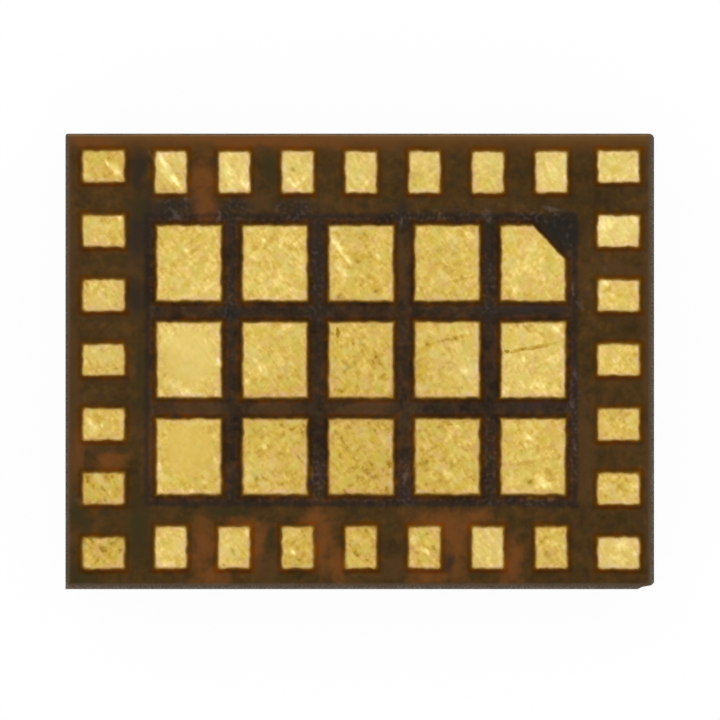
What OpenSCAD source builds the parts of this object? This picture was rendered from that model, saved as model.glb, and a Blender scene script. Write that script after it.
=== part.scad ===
// Radio power amplifier module in a moulded land grid package.
// It lies on its marking face with the solder lands up. The origin is the centre of
// the package's footprint, on the surface it lies on. Lengths are in millimetres.

/* [Package] */
// Length of the sawn package, along X
body_x = 4.60; // [4.56:0.02:4.80]
// Width of the sawn package, along Y
body_y = 3.56; // [3.54:0.02:3.80]
// Height of the black moulding over the components
mould_h = 0.50; // [0.45:0.01:0.80]
// Radius of the worn top right corner
worn_corner_r = 0.04; // [0.02:0.01:0.08]
// Radius of the worn top left corner
small_corner_r = 0.02; // [0.01:0.01:0.05]
// Length of the chipped edge at the bottom right corner, along X
chip_x = 0.13; // [0.08:0.01:0.20]
// Depth of that chip, along Y
chip_y = 0.03; // [0.02:0.01:0.05]
// Radius of the round index dot on the marking face
index_dot_r = 0.15; // [0.08:0.01:0.20]
// Depth of the index dot
index_dot_depth = 0.01; // [0.01:0.01:0.05]
// Distance from the index dot's centre to the two nearest edges
index_dot_inset = 0.45; // [0.30:0.05:0.60]

/* [Laminate] */
// Thickness of the laminate core
core_t = 0.25; // [0.15:0.01:0.40]
// Thickness of the copper on both sides of the core
copper_t = 0.015; // [0.010:0.001:0.018]
// Thickness of the nickel and gold plating on a land
plating_t = 0.007; // [0.003:0.001:0.008]
// Thickness of the lacquer on the land side, measured from the core
land_mask_t = 0.03; // [0.028:0.001:0.040]
// Thickness of the lacquer and pads on the component side
component_mask_t = 0.02; // [0.015:0.001:0.030]
// Width of the bare core left by the lacquer at the left edge
rim_left = 0.02; // [0.01:0.01:0.04]
// Width of the bare core at the right edge
rim_right = 0.03; // [0.01:0.01:0.04]
// Width of the bare core at the bottom edge
rim_bottom = 0.03; // [0.01:0.01:0.04]
// Width of the bare core at the top edge
rim_top = 0.01; // [0.01:0.01:0.04]

/* [Perimeter lands] */
// Lands along each side of the package
lands_per_side = 7; // [5:1:7]
// Pitch of the lands in the top and bottom rows
row_pitch = 0.495; // [0.480:0.005:0.500]
// Pitch of the lands in the left and right columns
column_pitch = 0.503; // [0.480:0.001:0.505]
// Length of a land, towards the middle of the package
land_l = 0.33; // [0.28:0.01:0.35]
// Width of a land
land_w = 0.25; // [0.20:0.01:0.28]
// Distance from the left and right edges to their lands
land_margin_x = 0.125; // [0.120:0.005:0.150]
// Distance from the top and bottom edges to their lands
land_margin_y = 0.150; // [0.130:0.005:0.160]
// How far the lacquer laps over a copper pad
mask_lap = 0.03; // [0.01:0.01:0.03]
// Corner radius of a land
land_corner_r = 0.025; // [0.010:0.005:0.040]
// How far the lands sit off the package's centre, from the saw cuts
pattern_shift = [0.010, 0.012]; // [-0.02:0.001:0.02]

/* [Ground lands] */
// Columns of ground lands
ground_columns = 5; // [3:1:5]
// Rows of ground lands
ground_rows = 3; // [2:1:3]
// Pitch of the ground lands along X
ground_pitch_x = 0.672; // [0.600:0.001:0.680]
// Pitch of the ground lands along Y
ground_pitch_y = 0.755; // [0.650:0.005:0.760]
// Size of a ground land along X
ground_land_x = 0.505; // [0.400:0.005:0.520]
// Size of a ground land along Y
ground_land_y = 0.590; // [0.500:0.005:0.600]
// Leg of the cut corner that marks land 1
index_chamfer = 0.26; // [0.15:0.01:0.30]
// How far the copper ground area reaches past its lands
ground_border = 0.08; // [0.04:0.01:0.09]

/* [Components] */
// Diameter of a bond wire
wire_d = 0.020; // [0.015:0.001:0.025]
// Pitch of the bond wires along a die's edge
wire_pitch = 0.11; // [0.09:0.01:0.12]
// Height of a wire's loop over its die
wire_rise = 0.11; // [0.08:0.01:0.15]
// Distance from a die's edge to where its wires meet the laminate
wire_reach = 0.25; // [0.22:0.01:0.26]
// Thickness of the adhesive or solder under a die
attach_t = 0.015; // [0.010:0.001:0.025]
// Thickness of the solder under a chip component
solder_t = 0.010; // [0.005:0.001:0.020]
// Diameter of a signal via
signal_via_d = 0.08; // [0.06:0.01:0.10]
// Diameter of a heat via under a die
heat_via_d = 0.10; // [0.08:0.01:0.12]
// Pitch of the heat vias
heat_via_pitch = 0.20; // [0.16:0.01:0.22]

/* [Hidden] */
$fn = 48;
cut = 0.1;

core_z = mould_h + component_mask_t;
land_side_z = core_z + core_t;

land_count = 4 * lands_per_side;
column_x = body_x / 2 - land_margin_x - land_l / 2;
row_y = body_y / 2 - land_margin_y - land_l / 2;

// A chip component is its length, width and height
large_chip = [0.60, 0.30, 0.30];
small_chip = [0.40, 0.20, 0.20];
// A chip's end cap covers this share of its length, and stands this far proud of its body
chip_cap_share = 0.25;
chip_cap_proud = 0.008;
// A solder fillet reaches this far past the end cap, and climbs this share of its height
fillet_reach = 0.05;
fillet_climb = 0.5;

// Bond wires start this far in from the die's edge, on a flattened ball, and end in a
// flat stitch on a bond finger
ball_inset = 0.06;
ball_r = 0.028;
ball_h = 0.012;
stitch_l = 0.04;
stitch_t = 0.008;
finger = [0.12, 0.07];
// Steps along a wire's loop
loop_steps = 7;
// Height of the upright part of the moulding's corners, over the foot and under the laminate
upright_corner_h = 0.05;

// How far the adhesive shows round a die, and the copper round the adhesive
attach_border = 0.02;
die_pad_border = 0.03;
// Round pad round a signal via on the component side
via_pad_r = 0.07;

// A die is its place, its size, its wires on the right, top, left and bottom sides, and
// its grid of heat vias
amplifier_high = [[-1.05, 0.55], [0.95, 0.75, 0.10], [6, 5, 4, 0], [4, 3]];
amplifier_low = [[-1.05, -0.60], [1.05, 0.85, 0.10], [6, 0, 4, 5], [4, 3]];
controller = [[0.55, -0.05], [0.80, 0.80, 0.15], [0, 5, 0, 5], [2, 2]];
antenna_switch = [[1.45, 0.55], [0.80, 0.90, 0.15], [5, 5, 0, 0], [2, 2]];
dies = [amplifier_high, amplifier_low, controller, antenna_switch];

// A chip's place is its centre and its turn
edge_row_pitch = 0.74;
large_capacitors = [for (i = [0:5]) [(i - 2.5) * edge_row_pitch, 1.50, 0]];
small_capacitors = concat(
    [for (i = [0:3]) [-2.05, 0.95 - 0.55 * i, 90]],
    [for (i = [0:4]) [-0.08, 0.95 - 0.52 * i, 90]],
    [for (i = [0:2]) [0.30 + 0.30 * i, 0.98, 90]]
);
large_inductors = concat(
    [for (i = [0:5]) [(i - 2.5) * edge_row_pitch, -1.55, 0]],
    [[0.45, -1.08, 0], [1.25, -1.08, 0]]
);
small_inductors = concat(
    [for (i = [0:2]) [1.20 + 0.35 * i, -0.42, 90]],
    [[1.90, -1.08, 90]]
);

function two_digits(n) = n < 10 ? str("0", n) : str(n);
function land_name(i) = str("land_", two_digits(i + 1));
function ground_land_name(column, row) = str("ground_land_", "abc"[row], column + 1);

// Colours
gold = [0.86, 0.74, 0.38];
lacquer = [0.30, 0.20, 0.12];
copper = [0.74, 0.44, 0.28];
core_grey = [0.42, 0.38, 0.31];
mould_black = [0.11, 0.11, 0.12];

// Lands are counted clockwise from the top right corner: down the right column, along
// the bottom row, up the left column and back along the top row. Each is a place and a turn.
function land_place(i) =
    let (side = floor(i / lands_per_side))
    let (step = i % lands_per_side - (lands_per_side - 1) / 2)
    side == 0 ? [column_x, -step * column_pitch, 0]
    : side == 1 ? [-step * row_pitch, -row_y, 90]
    : side == 2 ? [-column_x, step * column_pitch, 0]
    : [step * row_pitch, row_y, 90];

function ground_place(column, row) = [
    (column - (ground_columns - 1) / 2) * ground_pitch_x,
    ((ground_rows - 1) / 2 - row) * ground_pitch_y
];

// A cubic curve through a wire's four guide points, its direction, and a band along it
function curve(p, t) =
    pow(1 - t, 3) * p[0] + 3 * pow(1 - t, 2) * t * p[1] + 3 * (1 - t) * t * t * p[2] + pow(t, 3) * p[3];
function heading(p, t) =
    pow(1 - t, 2) * (p[1] - p[0]) + 2 * (1 - t) * t * (p[2] - p[1]) + t * t * (p[3] - p[2]);
function beside(p, t, off) =
    let (v = heading(p, t))
    curve(p, t) + off * [-v[1], v[0]] / norm(v);
function band(p, width, steps) = concat(
    [for (i = [0:steps]) beside(p, i / steps, width / 2)],
    [for (i = [steps:-1:0]) beside(p, i / steps, -width / 2)]
);

// Flat outlines

module rounded_rectangle(x, y, r) {
    square([x - 2 * r, y], center = true);
    square([x, y - 2 * r], center = true);
    for (side_x = [-1, 1], side_y = [-1, 1])
        translate([side_x * (x / 2 - r), side_y * (y / 2 - r)])
            circle(r);
}

// What wear takes off a square corner
module worn_corner(side_x, r) {
    translate([side_x * body_x / 2, body_y / 2])
        difference() {
            square(2 * r, center = true);
            translate([-side_x * r, -r])
                circle(r);
        }
}

// The piece broken off the bottom right corner
module chip() {
    translate([body_x / 2, -body_y / 2])
        polygon([
            [-chip_x, 0],
            [-0.70 * chip_x, 0.6 * chip_y],
            [-0.17 * chip_x, chip_y],
            [0, 1.7 * chip_y],
            [cut, 1.7 * chip_y],
            [cut, -cut],
            [-chip_x, -cut]
        ]);
}

module package_outline() {
    difference() {
        square([body_x, body_y], center = true);
        worn_corner(1, worn_corner_r);
        worn_corner(-1, small_corner_r);
        chip();
    }
}

module mask_outline() {
    mask_x = body_x - rim_left - rim_right;
    mask_y = body_y - rim_bottom - rim_top;
    intersection() {
        package_outline();
        translate([(rim_left - rim_right) / 2, (rim_bottom - rim_top) / 2])
            square([mask_x, mask_y], center = true);
    }
}

module land_outline(grow) {
    rounded_rectangle(land_l + 2 * grow, land_w + 2 * grow, land_corner_r + grow);
}

// The land with the cut corner has five rounded corners
module index_land_outline() {
    x = ground_land_x / 2 - land_corner_r;
    y = ground_land_y / 2 - land_corner_r;
    leg = index_chamfer + land_corner_r * (sqrt(2) - 2);
    hull()
        for (p = [[-x, -y], [x, -y], [x, y - leg], [x - leg, y], [-x, y]])
            translate(p)
                circle(land_corner_r, $fn = 24);
}

module ground_land_outline(column, row) {
    if (column == ground_columns - 1 && row == 0)
        index_land_outline();
    else
        rounded_rectangle(ground_land_x, ground_land_y, land_corner_r);
}

// Where things stand

module at_land(i) {
    place = land_place(i);
    translate([pattern_shift[0] + place[0], pattern_shift[1] + place[1], land_side_z])
        rotate(place[2])
            children();
}

module at_ground_land(column, row) {
    place = ground_place(column, row);
    translate([pattern_shift[0] + place[0], pattern_shift[1] + place[1], land_side_z])
        children();
}

// Components hang under the laminate, so their own height is measured down from it
module on_component_side() {
    translate([0, 0, mould_h])
        mirror([0, 0, 1])
            children();
}

module at_chip(places) {
    for (place = places)
        translate([place[0], place[1], 0])
            rotate(place[2])
                children();
}

// Draws children at every wire of a die, with +X pointing out over the die's edge
module at_wires(die) {
    for (side = [0:3]) {
        count = die[2][side];
        half = (side % 2 == 0 ? die[1][0] : die[1][1]) / 2;
        if (count > 0)
            for (i = [0:count - 1])
                translate([die[0][0], die[0][1], 0])
                    rotate(90 * side)
                        translate([half, (i - (count - 1) / 2) * wire_pitch, 0])
                            children();
    }
}

module at_heat_vias(die) {
    for (i = [0:die[3][0] - 1], j = [0:die[3][1] - 1])
        translate([
            die[0][0] + (i - (die[3][0] - 1) / 2) * heat_via_pitch,
            die[0][1] + (j - (die[3][1] - 1) / 2) * heat_via_pitch,
            0
        ])
            children();
}

// Land side

module land(i) {
    color(gold)
        at_land(i) {
            linear_extrude(copper_t)
                land_outline(mask_lap);
            linear_extrude(copper_t + plating_t)
                land_outline(0);
        }
}

module ground_land(column, row) {
    color(gold)
        at_ground_land(column, row)
            translate([0, 0, copper_t])
                linear_extrude(plating_t)
                    ground_land_outline(column, row);
}

module ground_plane() {
    plane_x = (ground_columns - 1) * ground_pitch_x + ground_land_x + 2 * ground_border;
    plane_y = (ground_rows - 1) * ground_pitch_y + ground_land_y + 2 * ground_border;
    color(copper)
        translate([pattern_shift[0], pattern_shift[1], land_side_z])
            linear_extrude(copper_t)
                square([plane_x, plane_y], center = true);
}

// One sheet of lacquer that covers the copper, with a window over every land
module land_side_mask() {
    color(lacquer)
        difference() {
            translate([0, 0, land_side_z])
                linear_extrude(land_mask_t)
                    mask_outline();
            ground_plane();
            for (i = [0:land_count - 1]) {
                land(i);
                at_land(i)
                    linear_extrude(land_mask_t + cut)
                        land_outline(0);
            }
            for (row = [0:ground_rows - 1], column = [0:ground_columns - 1])
                at_ground_land(column, row)
                    linear_extrude(land_mask_t + cut)
                        ground_land_outline(column, row);
        }
}

// Laminate

module vias() {
    color(copper)
        translate([0, 0, core_z]) {
            for (i = [0:land_count - 1])
                translate([
                    pattern_shift[0] + land_place(i)[0],
                    pattern_shift[1] + land_place(i)[1],
                    0
                ])
                    cylinder(core_t, d = signal_via_d);
            for (die = dies)
                at_heat_vias(die)
                    cylinder(core_t, d = heat_via_d);
        }
}

module laminate_core() {
    color(core_grey)
        difference() {
            translate([0, 0, core_z])
                linear_extrude(core_t)
                    package_outline();
            vias();
        }
}

module die_pad_outline(die) {
    border = attach_border + die_pad_border;
    translate(die[0])
        square([die[1][0] + 2 * border, die[1][1] + 2 * border], center = true);
}

module chip_pad_outline(size) {
    pad_x = size[0] * chip_cap_share + fillet_reach;
    for (side = [-1, 1])
        translate([side * (size[0] / 2 + fillet_reach - pad_x / 2), 0])
            square([pad_x, size[1]], center = true);
}

module component_side_copper() {
    color(copper)
        on_component_side()
            translate([0, 0, -component_mask_t])
                linear_extrude(component_mask_t) {
                    for (die = dies) {
                        die_pad_outline(die);
                        at_wires(die)
                            translate([wire_reach, 0])
                                square(finger, center = true);
                    }
                    at_chip(concat(large_capacitors, large_inductors))
                        chip_pad_outline(large_chip);
                    at_chip(concat(small_capacitors, small_inductors))
                        chip_pad_outline(small_chip);
                    for (i = [0:land_count - 1])
                        translate([
                            pattern_shift[0] + land_place(i)[0],
                            pattern_shift[1] + land_place(i)[1]
                        ])
                            circle(via_pad_r);
                }
}

module component_side_mask() {
    color(lacquer)
        difference() {
            translate([0, 0, mould_h])
                linear_extrude(component_mask_t)
                    package_outline();
            component_side_copper();
        }
}

// Components

module die_block(die) {
    on_component_side()
        translate([die[0][0], die[0][1], attach_t + die[1][2] / 2])
            cube(die[1], center = true);
}

module amplifier_die_high() {
    color("dimgray")
        die_block(amplifier_high);
}

module amplifier_die_low() {
    color("dimgray")
        die_block(amplifier_low);
}

module controller_die() {
    color("slategray")
        die_block(controller);
}

module switch_die() {
    color("slategray")
        die_block(antenna_switch);
}

module die_attach() {
    color("silver")
        on_component_side()
            for (die = dies)
                translate([die[0][0], die[0][1], attach_t / 2])
                    cube(
                        [die[1][0] + 2 * attach_border, die[1][1] + 2 * attach_border, attach_t],
                        center = true
                    );
}

// Side view of a wire: out of its ball, over the die's edge and down to its stitch
module wire_profile(die_top) {
    start_z = die_top + ball_h;
    guide = [
        [-ball_inset, start_z],
        [-ball_inset, start_z + wire_rise],
        [wire_reach * 0.4, start_z + wire_rise],
        [wire_reach, 0]
    ];
    intersection() {
        polygon(band(guide, wire_d, loop_steps));
        translate([-ball_inset - wire_d, 0])
            square([ball_inset + wire_reach + 2 * wire_d, start_z + 2 * wire_rise]);
    }
    translate([wire_reach - wire_d / 2, 0])
        square([stitch_l, stitch_t]);
}

module bond_wire(die_top) {
    translate([0, wire_d / 2, 0])
        rotate([90, 0, 0])
            linear_extrude(wire_d)
                wire_profile(die_top);
    translate([-ball_inset, 0, die_top])
        cylinder(ball_h, ball_r, ball_r, $fn = 8);
}

module bond_wires() {
    color(gold)
        on_component_side()
            for (die = dies)
                at_wires(die)
                    bond_wire(attach_t + die[1][2]);
}

// A ceramic block with two end caps
module chip_component(size) {
    cap_x = size[0] * chip_cap_share;
    body = [size[0] - cap_x, size[1] - 2 * chip_cap_proud, size[2] - 2 * chip_cap_proud];
    translate([0, 0, solder_t + size[2] / 2]) {
        cube(body, center = true);
        for (side = [-1, 1])
            translate([side * (size[0] - cap_x) / 2, 0, 0])
                cube([cap_x, size[1], size[2]], center = true);
    }
}

module capacitors() {
    color("tan")
        on_component_side() {
            at_chip(large_capacitors)
                chip_component(large_chip);
            at_chip(small_capacitors)
                chip_component(small_chip);
        }
}

module inductors() {
    color("whitesmoke")
        on_component_side() {
            at_chip(large_inductors)
                chip_component(large_chip);
            at_chip(small_inductors)
                chip_component(small_chip);
        }
}

// Solder under both end caps of a chip, with a fillet up each end
module chip_solder(size) {
    cap_x = size[0] * chip_cap_share;
    for (turn = [0, 180])
        rotate(turn)
            translate([0, size[1] / 2, 0])
                rotate([90, 0, 0])
                    linear_extrude(size[1])
                        polygon([
                            [size[0] / 2 - cap_x, 0],
                            [size[0] / 2 + fillet_reach, 0],
                            [size[0] / 2, solder_t + fillet_climb * size[2]],
                            [size[0] / 2, solder_t],
                            [size[0] / 2 - cap_x, solder_t]
                        ]);
}

module solder_joints() {
    color("lightgray")
        on_component_side() {
            at_chip(concat(large_capacitors, large_inductors))
                chip_solder(large_chip);
            at_chip(concat(small_capacitors, small_inductors))
                chip_solder(small_chip);
        }
}

// The wear at the corners fades out on the way down, so the marking face has square corners
module mould_block() {
    hull() {
        linear_extrude(upright_corner_h)
            square([body_x, body_y], center = true);
        translate([0, 0, mould_h - upright_corner_h])
            linear_extrude(upright_corner_h)
                package_outline();
    }
}

// Moulding, cast round everything that stands on the laminate
module mould_cap() {
    color(mould_black)
        difference() {
            mould_block();
            translate([body_x / 2 - index_dot_inset, body_y / 2 - index_dot_inset, -cut])
                cylinder(cut + index_dot_depth, r = index_dot_r);
            die_attach();
            amplifier_die_high();
            amplifier_die_low();
            controller_die();
            switch_die();
            bond_wires();
            capacitors();
            inductors();
            solder_joints();
        }
}

mould_cap();
laminate_core();
land_side_mask();
component_side_mask();
ground_plane();
component_side_copper();
vias();
amplifier_die_high();
amplifier_die_low();
controller_die();
switch_die();
die_attach();
bond_wires();
capacitors();
inductors();
solder_joints();
for (i = [0:land_count - 1])
    land(i);
for (row = [0:ground_rows - 1], column = [0:ground_columns - 1])
    ground_land(column, row);
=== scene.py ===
"""Dresses the power amplifier chip: gold lands, stained lacquer, moulding, laminate and stage."""

import math
from functools import reduce

import bmesh
import bpy
from bpy.props import FloatProperty, FloatVectorProperty, PointerProperty
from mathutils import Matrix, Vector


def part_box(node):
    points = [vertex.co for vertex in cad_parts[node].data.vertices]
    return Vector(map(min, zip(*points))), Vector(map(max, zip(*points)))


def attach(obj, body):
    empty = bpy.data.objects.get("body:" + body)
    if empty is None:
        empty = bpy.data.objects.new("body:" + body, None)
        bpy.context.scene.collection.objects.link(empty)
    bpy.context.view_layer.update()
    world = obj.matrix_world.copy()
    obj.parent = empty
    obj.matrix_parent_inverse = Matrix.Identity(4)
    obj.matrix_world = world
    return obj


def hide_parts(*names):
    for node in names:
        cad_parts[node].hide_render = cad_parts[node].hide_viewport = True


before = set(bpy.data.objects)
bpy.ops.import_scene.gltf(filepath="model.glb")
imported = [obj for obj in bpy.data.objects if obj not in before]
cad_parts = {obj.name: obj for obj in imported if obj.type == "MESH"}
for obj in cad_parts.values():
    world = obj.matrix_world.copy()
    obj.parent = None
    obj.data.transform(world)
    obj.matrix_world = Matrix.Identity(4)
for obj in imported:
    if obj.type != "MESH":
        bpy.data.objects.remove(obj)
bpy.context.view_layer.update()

bl_info = {
    "name": "Power amplifier chip",
    "version": (1, 0, 0),
    "blender": (4, 5, 0),
    "location": "View3D > Sidebar > Chip",
    "description": "Models and finishes a land grid radio power amplifier, lands up",
    "category": "Object",
}

MM = 0.001
NEAR = 0.0002 * MM  # what is nearer than this to a line or a level lies on it

SIGNAL_LANDS = [f"land_{number:02d}" for number in range(1, 29)]
GROUND_LANDS = [f"ground_land_{row}{column}" for row in "abc" for column in range(1, 6)]
INDEX_LAND = "ground_land_a5"
# Lands of one shape: wide ones at the sides, tall ones at top and bottom, and large ones
WIDE_LANDS = SIGNAL_LANDS[0:7] + SIGNAL_LANDS[14:21]
TALL_LANDS = SIGNAL_LANDS[7:14] + SIGNAL_LANDS[21:28]
WHOLE_LANDS = [node for node in GROUND_LANDS if node != INDEX_LAND]

# Heights of the land side, in metres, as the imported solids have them
FLOOR_OF_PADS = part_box("land_01")[0][2]
TOP_OF_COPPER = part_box("ground_plane")[1][2]
FACE_OF_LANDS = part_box("land_01")[1][2]
TOP_OF_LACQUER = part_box("land_side_mask")[1][2]

# The steps of a window's lip: the shares of its height and of its width that each adds
LIP_PROFILE = ((0.40, 0.04), (0.30, 0.11), (0.18, 0.13), (0.09, 0.17), (0.02, 0.20), (0.01, 0.35))
# How far a window's cutter goes past the top of the lip, past the lacquer and below the land
PAST_LIP = 0.0001 * MM
PAST_LACQUER = 0.01 * MM
BELOW_LAND = 0.005 * MM

# The size of the waves along etched and sawn outlines, in millimetres along X and Y
OUTLINE_WAVES = {"X": 0.080, "Y": 0.070}

# Stains in the lacquer, in millimetres: the middle of each, and how far it reaches along X and Y
RUST_STAINS = (
    (-0.77, 1.73, 0.80, 0.07), (-2.07, 1.71, 0.20, 0.05), (-1.23, 1.38, 0.12, 0.26),
    (-1.21, 1.24, 0.12, 0.16), (-2.23, -0.70, 0.07, 0.22), (-1.95, -0.79, 0.14, 0.08),
    (-1.23, -1.44, 0.11, 0.28), (-1.17, -1.68, 0.16, 0.10), (-0.80, -1.44, 0.08, 0.24),
    (-0.86, -1.28, 0.20, 0.07), (-0.31, -1.41, 0.12, 0.26), (-0.33, -1.23, 0.14, 0.08),
    (-0.18, -1.60, 0.08, 0.16), (0.66, -1.25, 0.32, 0.12), (0.73, -1.36, 0.15, 0.14),
    (0.74, -1.47, 0.11, 0.28), (0.90, -1.20, 0.14, 0.07), (0.55, -1.68, 0.18, 0.08),
    (1.18, -1.56, 0.10, 0.22),
)
SMOKE_STAINS = (
    (-1.73, 1.50, 0.07, 0.20), (-1.73, 0.98, 0.12, 0.22), (-1.66, 1.10, 0.06, 0.30),
    (-1.74, 0.48, 0.10, 0.17), (-1.52, 1.17, 0.18, 0.08), (-0.98, 1.23, 0.10, 0.08),
    (-1.00, 0.38, 0.10, 0.09), (-0.33, 0.40, 0.11, 0.12), (1.00, 0.38, 0.10, 0.12),
    (0.33, 1.16, 0.07, 0.12), (0.70, -1.57, 0.05, 0.09), (-1.42, 1.21, 0.18, 0.09),
    (-0.98, 1.21, 0.16, 0.08), (-0.50, 1.21, 0.18, 0.08), (-0.33, 0.74, 0.08, 0.40),
    (0.99, 0.76, 0.07, 0.30), (1.30, 0.40, 0.36, 0.06),
)
BROWN_STAINS = (
    (-1.33, -0.36, 0.30, 0.08), (-0.65, -0.36, 0.26, 0.07), (0.05, -0.36, 0.30, 0.07),
    (0.33, 0.72, 0.07, 0.30), (-1.65, -0.70, 0.06, 0.40), (-1.76, 0.73, 0.08, 0.12),
    (-0.79, 1.24, 0.16, 0.10), (-2.26, 0.10, 0.08, 1.70), (-0.73, -1.62, 0.12, 0.12),
    (0.26, -1.62, 0.10, 0.10), (2.27, 0.10, 0.07, 1.70), (2.02, 0.72, 0.30, 0.06),
    (1.76, -0.70, 0.08, 0.50),
)
PLUM_STAINS = (
    (1.35, 0.41, 0.30, 0.03), (1.38, -0.33, 0.26, 0.04), (0.34, -1.04, 0.13, 0.055),
    (-1.05, 1.03, 0.06, 0.10), (-0.40, 0.90, 0.05, 0.18), (1.66, -0.20, 0.04, 0.40),
    (-0.30, -0.85, 0.05, 0.12),
)
OLIVE_STAINS = (
    (-2.22, -1.68, 0.22, 0.12), (-1.72, -1.30, 0.12, 0.34), (-2.20, -1.20, 0.10, 0.14),
    (-1.70, -0.10, 0.05, 0.45), (-1.05, -1.16, 0.22, 0.05), (-0.70, -1.36, 0.05, 0.12),
    (-1.72, 1.20, 0.07, 0.12), (-0.70, 1.50, 0.07, 0.14),
)
INK_STAINS = ((1.575, 1.03, 0.16, 0.14), (1.64, 0.97, 0.08, 0.10), (-1.00, 0.36, 0.05, 0.05))
# Where grey dust lies thicker on the lacquer, in the same way
DUSTY_PATCHES = (
    (-1.42, 1.19, 0.26, 0.14), (-0.98, 1.19, 0.18, 0.12), (-0.50, 1.19, 0.26, 0.12),
    (-0.36, 0.62, 0.12, 0.45), (-1.03, 0.50, 0.10, 0.25), (0.55, 1.14, 0.55, 0.08),
    (1.35, 1.13, 0.35, 0.10), (0.99, 0.60, 0.10, 0.40), (-0.33, -0.90, 0.12, 0.30),
    (0.36, -0.92, 0.12, 0.28), (1.02, -0.70, 0.10, 0.45), (1.66, -0.55, 0.08, 0.70),
    (1.20, -1.09, 0.55, 0.06), (0.20, -1.08, 0.25, 0.05),
)
# Dust and scuffs on the lacquer, in millimetres: X and Y of both ends, and how wide
DUST_MARKS = (
    (-1.10, 1.19, -1.10, 1.06, 0.025), (-1.46, 1.17, -1.40, 1.12, 0.04),
    (-1.65, 1.62, -1.60, 1.58, 0.03), (-1.38, 1.29, -1.34, 1.26, 0.022),
    (0.99, 1.17, 1.01, 1.09, 0.04), (1.42, 1.20, 1.60, 1.19, 0.03), (1.66, 0.60, 1.67, 0.50, 0.03),
    (1.69, 0.46, 1.73, 0.42, 0.028), (1.67, -0.06, 1.69, -0.13, 0.034),
    (1.66, -0.30, 1.68, -0.36, 0.028), (1.67, -0.62, 1.68, -0.72, 0.022),
    (1.91, 0.74, 1.93, 0.70, 0.026), (-0.38, -0.80, -0.35, -0.98, 0.028),
    (0.36, -0.84, 0.37, -0.92, 0.026), (1.30, -1.05, 1.34, -1.07, 0.026),
    (1.47, -1.06, 1.52, -1.08, 0.026), (-0.63, -1.75, -0.50, -1.76, 0.03),
    (-2.20, -1.08, -2.16, -1.12, 0.034), (-0.50, 0.82, -0.49, 0.78, 0.022),
    (0.32, 1.17, 0.33, 1.04, 0.02),
)

# Pale and dark marks on the gold, in the same way
PALE_MARKS = (
    (-1.60, 1.66, -1.37, 1.29, 0.07), (-1.55, 1.52, -1.47, 1.40, 0.04),
    (-1.06, 1.51, -0.99, 1.40, 0.05), (-0.90, 1.45, -0.88, 1.32, 0.08),
    (-0.58, 1.45, -0.51, 1.36, 0.05), (-0.51, 1.36, -0.42, 1.44, 0.04),
    (-0.04, 1.40, -0.03, 1.39, 0.05), (0.07, 1.42, 0.06, 1.39, 0.05),
    (1.02, 1.44, 1.07, 1.36, 0.04), (-1.55, -1.58, -1.52, -1.58, 0.05),
    (-0.89, -1.33, -0.87, -1.36, 0.04), (-0.06, -1.37, -0.01, -1.38, 0.06),
    (0.42, -1.37, 0.42, -1.42, 0.05), (0.47, -1.45, 0.54, -1.51, 0.04),
    (1.00, -1.37, 1.05, -1.39, 0.05), (1.50, -1.40, 1.53, -1.44, 0.04),
    (-0.52, -1.48, -0.51, -1.50, 0.04), (-1.99, 1.58, -1.95, 1.51, 0.03),
    (-1.92, 1.54, -1.89, 1.47, 0.07), (-1.88, 1.12, -1.87, 1.10, 0.05),
    (-2.10, 0.59, -2.09, 0.57, 0.03), (-2.02, -0.49, -2.01, -0.51, 0.03),
    (-1.94, -0.48, -1.92, -0.56, 0.04), (-2.09, 0.08, -2.08, 0.07, 0.04),
    (1.88, 1.12, 1.91, 1.05, 0.12), (1.95, 0.00, 2.01, -0.00, 0.04),
    (2.14, -1.48, 2.15, -1.55, 0.03), (1.90, 0.62, 1.93, 0.61, 0.05),
    (-1.39, 0.90, -1.32, 0.82, 0.04), (-0.75, 0.95, -0.75, 0.93, 0.04),
    (-0.62, 0.95, -0.60, 0.93, 0.04), (-0.51, 0.93, -0.50, 0.90, 0.03),
    (-0.87, 1.03, -0.84, 1.02, 0.05), (-0.22, 0.98, -0.12, 0.82, 0.05),
    (-0.12, 0.86, -0.07, 0.75, 0.03), (-0.21, 0.78, -0.08, 0.64, 0.04),
    (0.13, 0.84, 0.15, 0.79, 0.04), (0.83, 1.00, 0.88, 0.97, 0.05), (1.21, 0.56, 1.21, 0.54, 0.04),
    (1.43, 0.66, 1.44, 0.64, 0.05), (1.42, 0.72, 1.43, 0.72, 0.04),
    (-1.52, 0.22, -1.34, 0.07, 0.09), (-0.84, 0.03, -0.77, -0.07, 0.04),
    (-1.21, 0.17, -1.20, 0.15, 0.03), (-1.12, 0.03, -1.10, -0.03, 0.04),
    (0.78, -0.05, 0.83, -0.08, 0.07), (0.91, -0.03, 0.92, -0.07, 0.04),
    (1.52, 0.26, 1.54, 0.23, 0.05), (1.11, -0.22, 1.14, -0.26, 0.06),
    (1.28, 0.03, 1.28, -0.00, 0.04), (0.72, -0.47, 0.80, -0.54, 0.03),
    (0.67, -0.87, 0.72, -0.91, 0.07), (1.28, -0.56, 1.34, -0.62, 0.04),
    (1.28, -0.64, 1.32, -0.67, 0.03), (1.39, -0.92, 1.48, -0.98, 0.07),
    (1.23, -0.87, 1.24, -0.88, 0.03), (1.57, -0.76, 1.57, -0.81, 0.03),
    (-0.75, -0.65, -0.74, -0.67, 0.04), (-1.57, -0.81, -1.56, -0.83, 0.04),
    (-1.14, -0.76, -1.13, -0.79, 0.04), (-1.20, -0.87, -1.18, -0.90, 0.05),
    (-1.22, -0.93, -1.20, -0.94, 0.04),
)
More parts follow.
